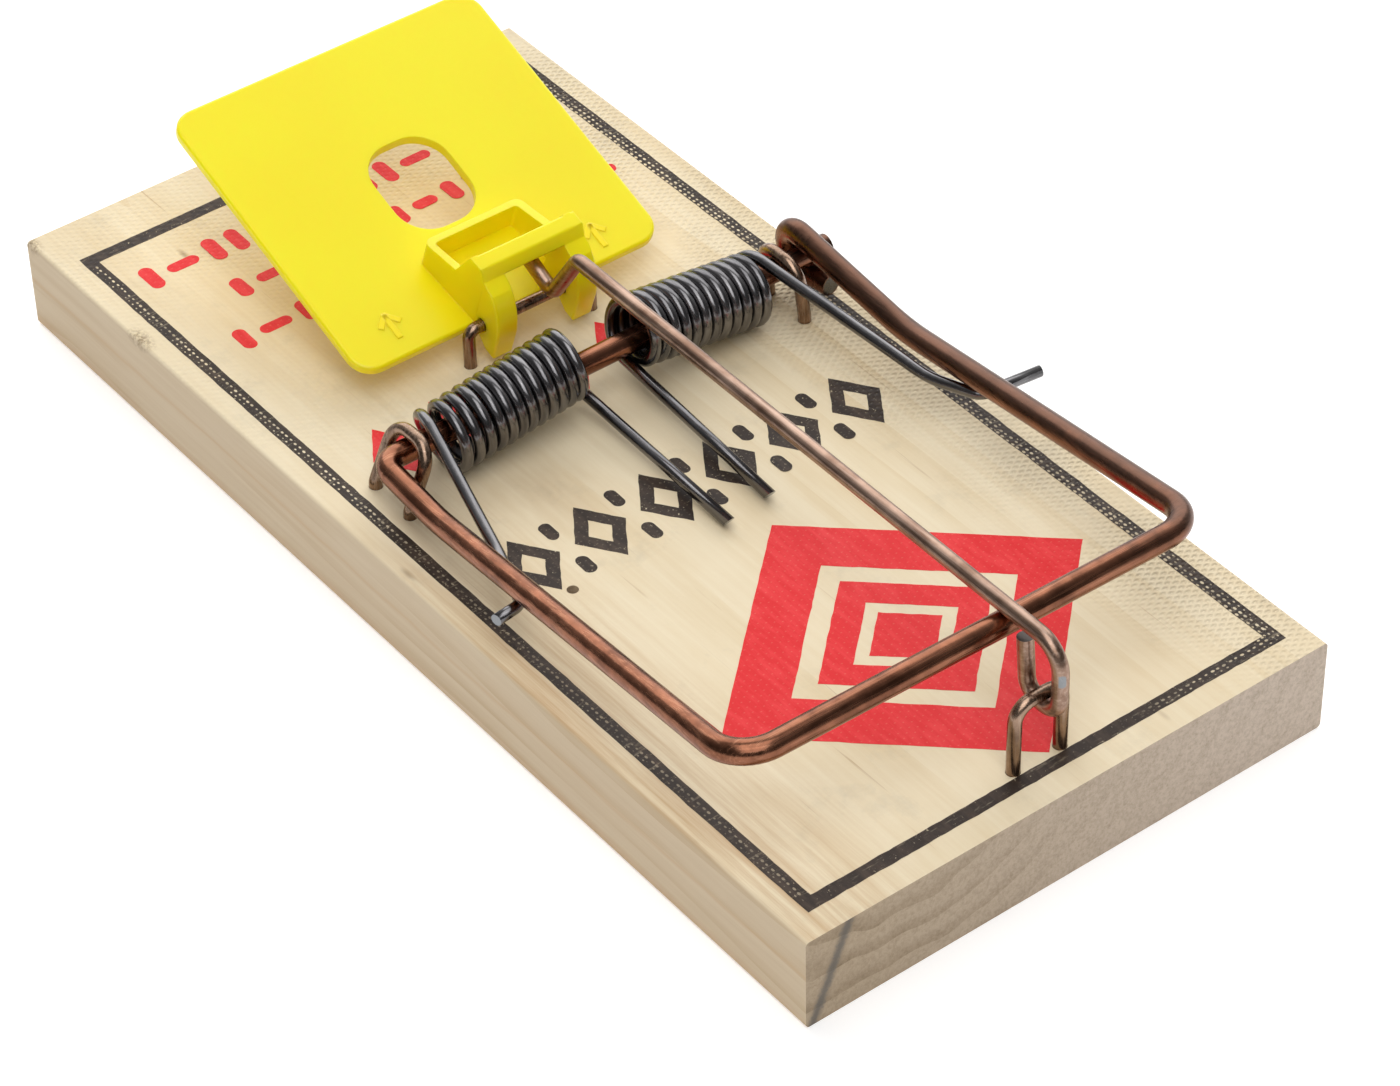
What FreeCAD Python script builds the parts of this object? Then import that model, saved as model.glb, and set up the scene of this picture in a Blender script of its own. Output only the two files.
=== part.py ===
import FreeCAD, Part
import math
import os

# Snap mouse trap in its set position: a wooden base, a sprung wire hammer held down by a
# hold-down bar, and a plastic trigger plate that keeps the bar's crook under its lip.
# Origin: centre of the base's underside. +X towards the hold-down staple, +Z up. Millimetres.

# Wooden base
BASE_LENGTH = 98.4
BASE_WIDTH = 47.2
BASE_THICKNESS = 8.1
BASE_EDGE_ROUND = 0.35
PILOT_HOLE_DIAMETER = 0.9
PILOT_HOLE_DEPTH = 3.0
PILOT_HOLE_X = 11.2
PILOT_HOLE_Y = -14.6

# Wire sizes
HAMMER_WIRE = 1.9
BAR_WIRE = 1.24
SPRING_WIRE = 0.95
STAPLE_WIRE = 1.05
PIVOT_WIRE = 1.0

# Fits
RUNNING_GAP = 0.14
WOOD_GAP = 0.02
TOUCH_GAP = 0.12
LEG_DEPTH = 5.5

# Hammer: axle, two arms, front bar and the hook that closes round the axle
AXLE_X = -5.5
AXLE_Z = 11.65
AXLE_LEFT_Y = -19.5
AXLE_RIGHT_Y = 22.25
ARM_START = 7.5
ARM_DIP = 0.3
ARM_SPLAY = 0.3
FRONT_LEFT_X = 40.3
FRONT_LEFT_Y = -22.2
FRONT_RIGHT_X = 41.0
FRONT_RIGHT_Y = 18.0
FRONT_Z = 17.05
KINK_X = 7.0
KINK_Y = 19.85
KINK_RISE = 0.45
HOOK_BACK = 2.15
HOOK_Y = 19.85
HOOK_SHIFT = 0.65
HOOK_TAIL_X = -3.4
HOOK_TAIL_Y = 21.05
AXLE_BEND = 1.6
ARM_BEND = 15.0
FRONT_BEND = 3.0
HOOK_BEND = 1.85

# Torsion springs on the axle
COIL_MEAN_DIAMETER = 4.88
COIL_INNER_LIFT = 0.85
COIL_OUTER_DROP = 0.5
LEFT_COIL_INNER_Y = -2.75
LEFT_COIL_OUTER_Y = -14.55
LEFT_TURNS = 8
RIGHT_COIL_INNER_Y = 2.95
RIGHT_COIL_OUTER_Y = 15.05
RIGHT_TURNS = 8
INNER_LEG = 17.6
OUTER_LEG_START = 2.6
OUTER_LEG_BEND = 7.0
APPROACH_INSET = 1.7
APPROACH_DROP = 1.15
APPROACH_BEND = 9.0
LEFT_APPROACH_X = 8.0
LEFT_HOOK_X = 13.3
LEFT_HOOK_END_Y = -22.9
RIGHT_APPROACH_X = 12.0
RIGHT_HOOK_X = 16.2
RIGHT_HOOK_END_Y = 24.7
SPRING_HOOK_BEND = 1.1
SPRING_HOOK_SKEW = 0.12
LEAST_COIL_GAP = 0.4

# Staples that hold the axle
AXLE_STAPLE_SPAN = 4.45
AXLE_STAPLE_X = -5.0
LEFT_STAPLE_FOOT_Y = -19.05
LEFT_STAPLE_CROWN_Y = -16.9
RIGHT_STAPLE_FOOT_Y = 17.9
RIGHT_STAPLE_CROWN_Y = 17.3
AXLE_STAPLE_BEND = 1.75
LEAN_START = 0.45
LEAN_BEND = 0.8

# Staple and bar that hold the hammer down
HOLD_FROM_END = 3.9
HOLD_STAPLE_LEFT_Y = -2.3
HOLD_STAPLE_RIGHT_Y = 1.95
HOLD_STAPLE_RISE = 5.95
HOLD_STAPLE_BEND = 1.4
EYE_BACK = 1.9
EYE_LEAN = 0.4
EYE_FRONT = 1.4
EYE_END_RISE = 3.4
BAR_NEAR_Y = 0.45
BAR_FAR_Y = 1.15
BAR_NEAR_Z = 18.75
BAR_FAR_Z = 18.3
BAR_APEX_X = -8.8
BAR_CROOK_X = -12.3
BAR_CROOK_Z = 13.2
BAR_TIP_X = -15.75
BAR_TIP_Z = 14.85
BAR_EYE_BEND = 1.5
BAR_NEAR_BEND = 2.3
BAR_APEX_BEND = 0.9
BAR_CROOK_BEND = 1.0

# Trigger plate, measured flat with its pivot at zero, then tilted
PIVOT_X = -14.4
PIVOT_Z = 11.4
PIVOT_LEFT_REACH = 1.25
PIVOT_RIGHT_REACH = 0.75
PIVOT_BEND = 0.75
TRIGGER_TILT = 20.3
PLATE_LENGTH = 27.2
PLATE_WIDTH = 28.5
PLATE_THICKNESS = 0.9
PLATE_CORNER = 2.0
PLATE_EDGE_ROUND = 0.25
PLATE_SET_BACK = 0.75
PLATE_DROP = 0.68
PLATE_CENTRE_Y = -0.2
WINDOW_LENGTH = 8.6
WINDOW_WIDTH = 7.0
WINDOW_CORNER = 2.9
WINDOW_START = 8.6

# Catch on the plate: an open box whose front rises to a lip between two ears
CATCH_LEFT_Y = -4.1
CATCH_RIGHT_Y = 5.3
CATCH_BACK_LEFT_Y = -4.65
CATCH_BACK_RIGHT_Y = 4.3
CATCH_BACK = 7.7
CATCH_WALL = 0.65
CATCH_CORNER = 0.7
CATCH_FLOOR_CORNER = 0.3
RIM_BACK_HEIGHT = 2.4
RIM_FRONT = 3.9
RIM_FRONT_HEIGHT = 3.2
LIP_BACK = 2.8
LIP_FRONT = 1.5
LIP_NOSE = 0.9
LIP_TOP = 5.3
LIP_RADIUS = 4.4
LIP_ROUND = 0.2
EAR_WIDTH = 1.9
EAR_FRONT = 2.0
EAR_INSIDE = 2.4
EAR_SHOULDER_X = 0.3
EAR_SHOULDER = 3.85
EAR_CHEEK_X = 1.4
EAR_CHEEK = 2.45
EAR_TIP = 2.05
EAR_TIP_LENGTH = 0.75
EAR_HEEL_X = 0.5
EAR_HEEL = 0.95
EAR_ROUND = 0.2

CUT_MARGIN = 1.0

HOLD_X = BASE_LENGTH / 2 - HOLD_FROM_END


def vector(x, y, z):
    return FreeCAD.Vector(x, y, z)


def unit(v):
    return vector(v.x, v.y, v.z).normalize()


def rounded_path(points, radii):
    """Straight runs through the points, with an arc of the given radius at each inner one."""
    edges = []
    start = points[0]
    for i, radius in enumerate(radii):
        corner = points[i + 1]
        back = unit(points[i] - corner)
        ahead = unit(points[i + 2] - corner)
        half = back.getAngle(ahead) / 2
        reach = radius / math.tan(half)
        first = corner + back * reach
        last = corner + ahead * reach
        middle = corner + unit(back + ahead) * (radius / math.sin(half) - radius)
        edges.append(Part.makeLine(start, first))
        edges.append(Part.Arc(first, middle, last).toShape())
        start = last
    edges.append(Part.makeLine(start, points[-1]))
    return edges


def bent_wire(edges, diameter):
    """A round wire along joined edges, as one solid."""
    path = Part.Wire(edges)
    first = edges[0]
    start = first.valueAt(first.FirstParameter)
    along = first.tangentAt(first.FirstParameter)
    section = Part.Wire([Part.makeCircle(diameter / 2, start, along)])
    return path.makePipeShell([section], True, False)


def check_wire(name, solid, edges, diameter):
    """Compares the wire's volume with its section times its length."""
    length = sum(edge.Length for edge in edges)
    ideal = math.pi * diameter ** 2 / 4 * length
    print(name, "length", round(length, 2), "volume ratio", round(solid.Volume / ideal, 4))


def biarc(start, start_along, end, end_along):
    """Two arcs that leave one point and reach another along the given directions."""
    chord = end - start
    total = start_along + end_along
    lean = 2 * (1 - start_along.dot(end_along))
    pull = chord.dot(total)
    reach = (math.sqrt(pull ** 2 + lean * chord.dot(chord)) - pull) / lean
    first_corner = start + start_along * reach
    last_corner = end - end_along * reach
    joint = (first_corner + last_corner) * 0.5
    arcs = []
    for a, corner, b in ((start, first_corner, joint), (joint, last_corner, end)):
        middle = (a + b) * 0.5
        half_chord = (b - a).Length / 2
        side_angle = math.atan2((corner - middle).Length, half_chord)
        on_arc = middle + unit(corner - middle) * (half_chord * math.tan(side_angle / 2))
        arcs.append(Part.Arc(a, on_arc, b).toShape())
    return arcs


class Coil:
    """A helix about a straight axis, wound backwards over the top as its angle falls."""

    def __init__(self, inner, outer, turns, start_angle):
        self.inner = inner
        self.outer = outer
        self.start_angle = start_angle
        self.sweep = turns * 2 * math.pi
        axis = unit(outer - inner)
        self.up = vector(0, axis.z, -axis.y)
        if self.up.z < 0:
            self.up = self.up * -1

    def point(self, share):
        angle = self.start_angle - self.sweep * share
        centre = self.inner + (self.outer - self.inner) * share
        radius = COIL_MEAN_DIAMETER / 2
        return centre + vector(radius * math.cos(angle), 0, 0) + self.up * (radius * math.sin(angle))

    def along(self, share):
        angle = self.start_angle - self.sweep * share
        swing = self.sweep * COIL_MEAN_DIAMETER / 2
        turning = vector(swing * math.sin(angle), 0, 0) - self.up * (swing * math.cos(angle))
        return unit(turning + self.outer - self.inner)

    def edges(self, quarters):
        arcs = []
        for i in range(quarters):
            a = i / quarters
            b = (i + 1) / quarters
            arcs += biarc(self.point(a), self.along(a), self.point(b), self.along(b))
        return arcs


def arm_point(side, x):
    """Centre of a hammer arm at a distance along the base."""
    if side < 0:
        first = vector(AXLE_X + ARM_START, AXLE_LEFT_Y - ARM_SPLAY, AXLE_Z - ARM_DIP)
        last = vector(FRONT_LEFT_X, FRONT_LEFT_Y, FRONT_Z)
    else:
        first = vector(KINK_X, KINK_Y, AXLE_Z + KINK_RISE)
        last = vector(FRONT_RIGHT_X, FRONT_RIGHT_Y, FRONT_Z)
    return first + (last - first) * ((x - first.x) / (last.x - first.x))


def hammer():
    hook_reach = HAMMER_WIRE + RUNNING_GAP
    hook_x = AXLE_X - HOOK_BACK
    hook_slope = (hook_reach - KINK_RISE) / (KINK_X - AXLE_X)
    hook_top = AXLE_Z + hook_reach / math.cos(math.atan(hook_slope)) + HOOK_BACK * hook_slope
    points = [
        vector(AXLE_X, AXLE_RIGHT_Y, AXLE_Z),
        vector(AXLE_X, AXLE_LEFT_Y, AXLE_Z),
        arm_point(-1, AXLE_X + ARM_START),
        vector(FRONT_LEFT_X, FRONT_LEFT_Y, FRONT_Z),
        vector(FRONT_RIGHT_X, FRONT_RIGHT_Y, FRONT_Z),
        arm_point(1, KINK_X),
        vector(hook_x, HOOK_Y, hook_top),
        vector(hook_x, HOOK_Y + HOOK_SHIFT, AXLE_Z - hook_reach),
        vector(HOOK_TAIL_X, HOOK_TAIL_Y, AXLE_Z - hook_reach),
    ]
    bends = [AXLE_BEND, ARM_BEND, FRONT_BEND, FRONT_BEND, ARM_BEND, HOOK_BEND, HOOK_BEND]
    edges = rounded_path(points, bends)
    solid = bent_wire(edges, HAMMER_WIRE)
    check_wire("hammer", solid, edges, HAMMER_WIRE)
    return solid


def leg_start_angle(coil_inner, coil_outer, turns):
    """The coil angle at which the straight inner leg ends on the wood."""
    tip_z = BASE_THICKNESS + SPRING_WIRE / 2 + TOUCH_GAP
    angle = -math.pi / 2
    step = math.radians(2)
    for _ in range(12):
        heights = []
        for trial in (angle, angle - step):
            coil = Coil(coil_inner, coil_outer, turns, trial)
            heights.append((coil.point(0) - coil.along(0) * INNER_LEG).z)
        angle -= step * (heights[0] - tip_z) / (heights[0] - heights[1])
        step = step / 4
    return angle


def least_gap(name, edges, diameter):
    """Least distance between the wire and itself, on points along it."""
    spacing = 0.12
    points = []
    for edge in edges:
        points += edge.discretize(max(2, int(edge.Length / spacing)))[:-1]
    apart = int(math.pi * COIL_MEAN_DIAMETER / 2 / spacing)
    least = min(
        (points[i] - points[j]).Length
        for i in range(0, len(points), 2)
        for j in range(i + apart, min(i + 4 * apart, len(points)))
    )
    print(name, "gap to itself", round(least - diameter, 3), "wanted over", LEAST_COIL_GAP)


def spring(name, side, inner_y, outer_y, turns, approach_x, hook_x, hook_end_y):
    coil_inner = vector(AXLE_X, inner_y, AXLE_Z + COIL_INNER_LIFT)
    coil_outer = vector(AXLE_X, outer_y, AXLE_Z - COIL_OUTER_DROP)
    wound = turns + 0.5
    start_angle = leg_start_angle(coil_inner, coil_outer, wound)
    coil = Coil(coil_inner, coil_outer, wound, start_angle)
    below = (HAMMER_WIRE + SPRING_WIRE) / 2 + TOUCH_GAP
    approach = arm_point(side, approach_x) - vector(0, side * APPROACH_INSET, APPROACH_DROP)
    under_arm = arm_point(side, hook_x) - vector(0, 0, below)
    hook_end = vector(hook_x + SPRING_HOOK_SKEW * abs(hook_end_y - under_arm.y), hook_end_y, under_arm.z)
    end = coil.point(1)
    turn_point = end + coil.along(1) * OUTER_LEG_START
    outer_edges = rounded_path(
        [end, turn_point, approach, under_arm, hook_end],
        [OUTER_LEG_BEND, APPROACH_BEND, SPRING_HOOK_BEND])
    tip = coil.point(0) - coil.along(0) * INNER_LEG
    edges = [Part.makeLine(tip, coil.point(0))] + coil.edges(4 * turns + 2) + outer_edges
    solid = bent_wire(edges, SPRING_WIRE)
    check_wire(name, solid, edges, SPRING_WIRE)
    least_gap(name, edges, SPRING_WIRE)
    return solid


def staple(feet, crown_corners, bend, diameter):
    """An arch of wire whose legs go straight down into the wood."""
    bottom = BASE_THICKNESS - LEG_DEPTH
    points = [vector(feet[0].x, feet[0].y, bottom), *crown_corners, vector(feet[1].x, feet[1].y, bottom)]
    bends = [bend, bend]
    if abs(crown_corners[0].y - feet[0].y) > 0:
        top = BASE_THICKNESS + LEAN_START
        points.insert(1, vector(feet[0].x, feet[0].y, top))
        points.insert(-1, vector(feet[1].x, feet[1].y, top))
        bends = [LEAN_BEND, bend, bend, LEAN_BEND]
    return bent_wire(rounded_path(points, bends), diameter)


def axle_staple_feet(foot_y):
    half = AXLE_STAPLE_SPAN / 2
    return [vector(AXLE_STAPLE_X - half, foot_y, 0), vector(AXLE_STAPLE_X + half, foot_y, 0)]


def axle_staple(foot_y, crown_y):
    crown_z = AXLE_Z + (HAMMER_WIRE + STAPLE_WIRE) / 2 + RUNNING_GAP
    feet = axle_staple_feet(foot_y)
    corners = [vector(foot.x, crown_y, crown_z) for foot in feet]
    return staple(feet, corners, AXLE_STAPLE_BEND, STAPLE_WIRE)


def hold_staple_feet():
    return [vector(HOLD_X, HOLD_STAPLE_LEFT_Y, 0), vector(HOLD_X, HOLD_STAPLE_RIGHT_Y, 0)]


def hold_down_staple():
    feet = hold_staple_feet()
    crown_z = BASE_THICKNESS + HOLD_STAPLE_RISE
    corners = [vector(foot.x, foot.y, crown_z) for foot in feet]
    return staple(feet, corners, HOLD_STAPLE_BEND, STAPLE_WIRE)


def hold_down_bar():
    crown_z = BASE_THICKNESS + HOLD_STAPLE_RISE
    eye_z = crown_z - (STAPLE_WIRE + BAR_WIRE) / 2 - RUNNING_GAP
    points = [
        vector(HOLD_X - EYE_BACK - EYE_LEAN, BAR_NEAR_Y, crown_z + EYE_END_RISE),
        vector(HOLD_X - EYE_BACK, BAR_NEAR_Y, eye_z),
        vector(HOLD_X + EYE_FRONT, BAR_NEAR_Y, eye_z),
        vector(HOLD_X + EYE_FRONT, BAR_NEAR_Y, BAR_NEAR_Z),
        vector(BAR_APEX_X, BAR_FAR_Y, BAR_FAR_Z),
        vector(BAR_CROOK_X, BAR_FAR_Y, BAR_CROOK_Z),
        vector(BAR_TIP_X, BAR_FAR_Y, BAR_TIP_Z),
    ]
    bends = [BAR_EYE_BEND, BAR_EYE_BEND, BAR_NEAR_BEND, BAR_APEX_BEND, BAR_CROOK_BEND]
    edges = rounded_path(points, bends)
    solid = bent_wire(edges, BAR_WIRE)
    check_wire("hold_down_bar", solid, edges, BAR_WIRE)
    return solid


def pivot_feet():
    left = CATCH_LEFT_Y - PIVOT_LEFT_REACH
    right = CATCH_RIGHT_Y + PIVOT_RIGHT_REACH
    return [vector(PIVOT_X, left, 0), vector(PIVOT_X, right, 0)]


def trigger_pivot_wire():
    feet = pivot_feet()
    corners = [vector(foot.x, foot.y, PIVOT_Z) for foot in feet]
    return staple(feet, corners, PIVOT_BEND, PIVOT_WIRE)


def extrude_outline(corners, direction):
    """A closed outline of straight lines, drawn out along a direction."""
    return Part.Face(Part.makePolygon(corners + corners[:1])).extrude(direction)


def upright_edges(solid):
    return [edge for edge in solid.Edges if abs(edge.tangentAt(edge.FirstParameter).z) > 0.99]


def plate_blank():
    blank = Part.makeBox(
        PLATE_LENGTH, PLATE_WIDTH, PLATE_THICKNESS,
        vector(-PLATE_SET_BACK - PLATE_LENGTH, PLATE_CENTRE_Y - PLATE_WIDTH / 2, -PLATE_DROP - PLATE_THICKNESS))
    blank = blank.makeFillet(PLATE_CORNER, upright_edges(blank))
    rim = [e for e in blank.Edges if e.BoundBox.ZLength < PLATE_THICKNESS / 2]
    return blank.makeFillet(PLATE_EDGE_ROUND, rim)


def window_cutter():
    far = -PLATE_SET_BACK - WINDOW_START - WINDOW_LENGTH
    cutter = Part.makeBox(
        WINDOW_LENGTH, WINDOW_WIDTH, PLATE_THICKNESS + 2 * CUT_MARGIN,
        vector(far, PLATE_CENTRE_Y - WINDOW_WIDTH / 2, -PLATE_DROP - PLATE_THICKNESS - CUT_MARGIN))
    return cutter.makeFillet(WINDOW_CORNER, upright_edges(cutter))


def catch_box(wall, corner, bottom):
    """The catch's plan, moved in by a wall and drawn up; it is narrower at the back."""
    back = -CATCH_BACK + wall
    box = extrude_outline([
        vector(-PLATE_SET_BACK, CATCH_LEFT_Y + wall, bottom),
        vector(back, CATCH_BACK_LEFT_Y + wall, bottom),
        vector(back, CATCH_BACK_RIGHT_Y - wall, bottom),
        vector(-PLATE_SET_BACK, CATCH_RIGHT_Y - wall, bottom),
    ], vector(0, 0, LIP_TOP - bottom))
    back_edges = [edge for edge in upright_edges(box) if edge.BoundBox.XMax < back + CUT_MARGIN]
    return box.makeFillet(corner, back_edges)


def catch_walls():
    """Side and back walls, cut to the height of a rim that rises towards the lip."""
    top = -PLATE_DROP
    low = top - PLATE_THICKNESS / 2
    side = [
        (-CATCH_BACK - CUT_MARGIN, low),
        (-CATCH_BACK - CUT_MARGIN, top + RIM_BACK_HEIGHT),
        (-CATCH_BACK, top + RIM_BACK_HEIGHT),
        (-RIM_FRONT, top + RIM_FRONT_HEIGHT),
        (-LIP_BACK, LIP_TOP),
        (-LIP_FRONT, LIP_TOP),
        (-LIP_NOSE, lip_height(LIP_NOSE)),
        (-LIP_NOSE, low),
    ]
    keep = extrude_outline(
        [vector(x, CATCH_BACK_LEFT_Y - CUT_MARGIN, z) for x, z in side],
        vector(0, CATCH_RIGHT_Y - CATCH_BACK_LEFT_Y + 2 * CUT_MARGIN, 0))
    outside = catch_box(0, CATCH_CORNER, low)
    inside = catch_box(CATCH_WALL, CATCH_FLOOR_CORNER, top)
    return outside.cut(inside).common(keep)


def lip_height(x):
    """Height of the lip's underside, an arc about the pivot, so that it slides off the crook."""
    return math.sqrt(LIP_RADIUS ** 2 - x ** 2)


def lip():
    middle = (LIP_NOSE + LIP_BACK) / 2
    top_front = vector(-LIP_FRONT, CATCH_LEFT_Y, LIP_TOP)
    top_back = vector(-LIP_BACK, CATCH_LEFT_Y, LIP_TOP)
    low_back = vector(-LIP_BACK, CATCH_LEFT_Y, lip_height(LIP_BACK))
    nose = vector(-LIP_NOSE, CATCH_LEFT_Y, lip_height(LIP_NOSE))
    edges = [
        Part.makeLine(top_front, top_back),
        Part.makeLine(top_back, low_back),
        Part.Arc(low_back, vector(-middle, CATCH_LEFT_Y, lip_height(middle)), nose).toShape(),
        Part.makeLine(nose, top_front),
    ]
    bar = Part.Face(Part.Wire(edges)).extrude(vector(0, CATCH_RIGHT_Y - CATCH_LEFT_Y, 0))
    upper = [
        edge for edge in bar.Edges
        if edge.BoundBox.YLength > EAR_WIDTH and edge.BoundBox.ZMin > LIP_TOP - LIP_ROUND]
    return bar.makeFillet(LIP_ROUND, upper)


def ear(y):
    """One ear: from inside the lip, forward over the pivot and down to its tip."""
    under = -PLATE_DROP - PLATE_THICKNESS
    nose = vector(-LIP_NOSE, y, lip_height(LIP_NOSE))
    shoulder = vector(EAR_SHOULDER_X, y, EAR_SHOULDER)
    front = vector(EAR_FRONT, y, 0)
    tip = vector(EAR_FRONT, y, -EAR_TIP)
    tip_back = vector(EAR_FRONT - EAR_TIP_LENGTH, y, -EAR_TIP)
    heel = vector(-EAR_HEEL_X, y, -EAR_HEEL)
    inside_low = vector(-EAR_INSIDE, y, under + PLATE_THICKNESS / 2)
    in_lip_back = vector(-EAR_INSIDE, y, LIP_TOP - LIP_ROUND)
    in_lip_front = vector(-LIP_FRONT, y, LIP_TOP - LIP_ROUND)
    edges = [
        Part.makeLine(nose, shoulder),
        Part.Arc(shoulder, vector(EAR_CHEEK_X, y, EAR_CHEEK), front).toShape(),
        Part.makeLine(front, tip),
        Part.makeLine(tip, tip_back),
        Part.makeLine(tip_back, heel),
        Part.makeLine(heel, inside_low),
        Part.makeLine(inside_low, in_lip_back),
        Part.makeLine(in_lip_back, in_lip_front),
        Part.makeLine(in_lip_front, nose),
    ]
    solid = Part.Face(Part.Wire(edges)).extrude(vector(0, EAR_WIDTH, 0))
    face_edges = [
        edge for edge in solid.Edges
        if edge.BoundBox.YLength < EAR_ROUND and edge.BoundBox.XMax > EAR_SHOULDER_X + EAR_ROUND
        and edge.BoundBox.XMin > -EAR_ROUND]
    return solid.makeFillet(EAR_ROUND, face_edges)


def trigger_plate():
    body = plate_blank().cut(window_cutter())
    body = body.fuse([catch_walls(), lip(), ear(CATCH_LEFT_Y), ear(CATCH_RIGHT_Y - EAR_WIDTH)])
    body = body.removeSplitter()
    bore = Part.makeCylinder(
        PIVOT_WIRE / 2 + RUNNING_GAP / 2, CATCH_RIGHT_Y - CATCH_LEFT_Y + 2 * CUT_MARGIN,
        vector(0, CATCH_LEFT_Y - CUT_MARGIN, 0), vector(0, 1, 0))
    body = body.cut(bore)
    body.rotate(vector(0, 0, 0), vector(0, 1, 0), TRIGGER_TILT)
    body.translate(vector(PIVOT_X, 0, PIVOT_Z))
    return body


def leg_hole(foot, diameter):
    return Part.makeCylinder(
        diameter / 2 + WOOD_GAP, LEG_DEPTH + WOOD_GAP + CUT_MARGIN,
        vector(foot.x, foot.y, BASE_THICKNESS - LEG_DEPTH - WOOD_GAP))


def base_board():
    board = Part.makeBox(
        BASE_LENGTH, BASE_WIDTH, BASE_THICKNESS, vector(-BASE_LENGTH / 2, -BASE_WIDTH / 2, 0))
    long_edges = [e for e in board.Edges if abs(e.tangentAt(e.FirstParameter).x) > 0.9]
    board = board.makeFillet(BASE_EDGE_ROUND, long_edges)
    holes = [leg_hole(foot, STAPLE_WIRE) for foot in axle_staple_feet(LEFT_STAPLE_FOOT_Y)]
    holes += [leg_hole(foot, STAPLE_WIRE) for foot in axle_staple_feet(RIGHT_STAPLE_FOOT_Y)]
    holes += [leg_hole(foot, STAPLE_WIRE) for foot in hold_staple_feet()]
    holes += [leg_hole(foot, PIVOT_WIRE) for foot in pivot_feet()]
    holes.append(Part.makeCylinder(
        PILOT_HOLE_DIAMETER / 2, PILOT_HOLE_DEPTH + CUT_MARGIN,
        vector(PILOT_HOLE_X, PILOT_HOLE_Y, BASE_THICKNESS - PILOT_HOLE_DEPTH)))
    for hole in holes:
        board = board.cut(hole)
    return board


def main():
    os.makedirs("parts", exist_ok=True)
    nodes = {
        "base_board": base_board(),
        "hammer": hammer(),
        "spring_left": spring(
            "spring_left", -1, LEFT_COIL_INNER_Y, LEFT_COIL_OUTER_Y, LEFT_TURNS,
            LEFT_APPROACH_X, LEFT_HOOK_X, LEFT_HOOK_END_Y),
        "spring_right": spring(
            "spring_right", 1, RIGHT_COIL_INNER_Y, RIGHT_COIL_OUTER_Y, RIGHT_TURNS,
            RIGHT_APPROACH_X, RIGHT_HOOK_X, RIGHT_HOOK_END_Y),
        "axle_staple_left": axle_staple(LEFT_STAPLE_FOOT_Y, LEFT_STAPLE_CROWN_Y),
        "axle_staple_right": axle_staple(RIGHT_STAPLE_FOOT_Y, RIGHT_STAPLE_CROWN_Y),
        "hold_down_staple": hold_down_staple(),
        "hold_down_bar": hold_down_bar(),
        "trigger_pivot_wire": trigger_pivot_wire(),
        "trigger_plate": trigger_plate(),
    }
    for name, shape in nodes.items():
        print(name, "valid", shape.isValid(), "solids", len(shape.Solids), "volume", round(shape.Volume, 2))
        shape.exportStep("parts/" + name + ".step")


main()
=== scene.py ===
import math
from functools import partial

import bmesh
import bpy
from mathutils import Matrix, Vector, noise


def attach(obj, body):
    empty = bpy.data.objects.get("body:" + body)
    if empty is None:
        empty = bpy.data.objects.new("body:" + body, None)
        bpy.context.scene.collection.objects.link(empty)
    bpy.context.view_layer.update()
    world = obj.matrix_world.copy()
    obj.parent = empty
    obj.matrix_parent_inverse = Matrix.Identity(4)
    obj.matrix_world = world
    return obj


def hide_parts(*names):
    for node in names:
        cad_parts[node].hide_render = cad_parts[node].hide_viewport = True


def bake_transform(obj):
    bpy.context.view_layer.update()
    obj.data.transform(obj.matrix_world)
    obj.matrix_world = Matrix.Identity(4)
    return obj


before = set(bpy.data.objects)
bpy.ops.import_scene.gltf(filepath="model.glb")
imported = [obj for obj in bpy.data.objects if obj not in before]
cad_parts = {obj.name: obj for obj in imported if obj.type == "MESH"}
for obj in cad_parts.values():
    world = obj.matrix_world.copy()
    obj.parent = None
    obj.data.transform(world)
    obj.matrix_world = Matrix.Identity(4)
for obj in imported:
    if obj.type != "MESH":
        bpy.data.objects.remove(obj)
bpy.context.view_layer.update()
mm = 0.001
print("frame loaded")


def hexColour(code):
    # sRGB hex to the linear colour that Blender's sockets take
    channels = [int(code[i:i + 2], 16) / 255 for i in (1, 3, 5)]
    linear = [c / 12.92 if c <= 0.04045 else ((c + 0.055) / 1.055) ** 2.4 for c in channels]
    return (*linear, 1.0)


def fillSockets(node, inputs):
    # inputs by name or in order: a node or socket is linked, anything else set, hex codes as colours
    for key, value in (inputs.items() if isinstance(inputs, dict) else enumerate(inputs)):
        if isinstance(value, bpy.types.Node):
            value = value.outputs[0]
        if isinstance(value, bpy.types.NodeSocket):
            node.id_data.links.new(value, node.inputs[key])
        else:
            node.inputs[key].default_value = hexColour(value) if isinstance(value, str) else value


def addNode(tree, kind, inputs=(), **settings):
    made = tree.nodes.new("ShaderNode" + kind)
    for key, value in settings.items():
        setattr(made, key, value)
    fillSockets(made, inputs)
    return made


def startFinish(name):
    finish = bpy.data.materials.new(name)
    finish.use_nodes = True
    add = partial(addNode, finish.node_tree)
    coords = add("TexCoord").outputs
    place = add("VectorMath", {"Vector": coords["Object"], "Scale": 1 / mm}, operation="SCALE")  # millimetres
    return finish, finish.node_tree.nodes["Principled BSDF"], add, coords, place


# Pine: planed softwood, pale cream with soft brown latewood lines and grey end grain

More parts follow.
